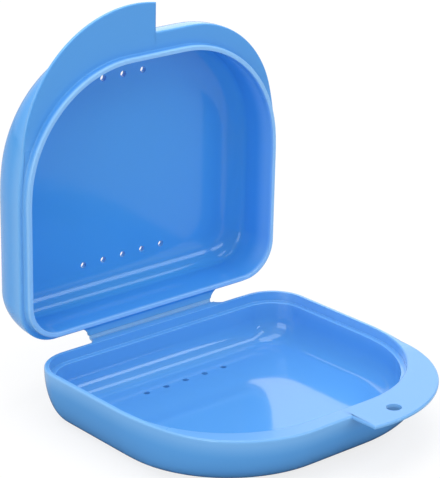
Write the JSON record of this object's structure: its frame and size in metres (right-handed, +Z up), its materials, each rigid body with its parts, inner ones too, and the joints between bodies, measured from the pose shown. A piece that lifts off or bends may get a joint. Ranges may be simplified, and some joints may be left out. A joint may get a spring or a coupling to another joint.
{
  "type": "denture case",
  "caption": "Hinged plastic denture case: shallow rounded tray with a vented floor and a matching vented lid on a folding web, opened by pull tabs at the front.",
  "frame": {"origin": "on the tray's flat underside, below the middle of the rim", "axes": "+Z up out of the tray, -Y towards the front with the pull tabs, +X towards the side with the lanyard hole; the hinge axis runs along X behind the tray"},
  "size_m": [0.0776, 0.0939, 0.0942],
  "materials": {
    "tray_plastic": "polished sky-blue polypropylene",
    "lid_plastic": "polished sky-blue polypropylene",
    "web_plastic": "thin flexed sky-blue polypropylene"
  },
  "bodies": {
    "base": {"base_tray": "tray_plastic", "base_pull_tab": "tray_plastic", "base_hinge_leaf": "tray_plastic", "hinge_web": "web_plastic"},
    "lid": {"lid_shell": "lid_plastic", "lid_locating_lip": "lid_plastic", "lid_hinge_leaf": "lid_plastic", "lid_pull_tab": "lid_plastic"}
  },
  "joints": [
    {"name": "lid_hinge", "type": "hinge", "parent": "base", "child": "lid", "pos_m": [0, 0.0377, 0.0134], "axis": [-1, 0, 0], "range_deg": [-87.7, 92]}
  ]
}
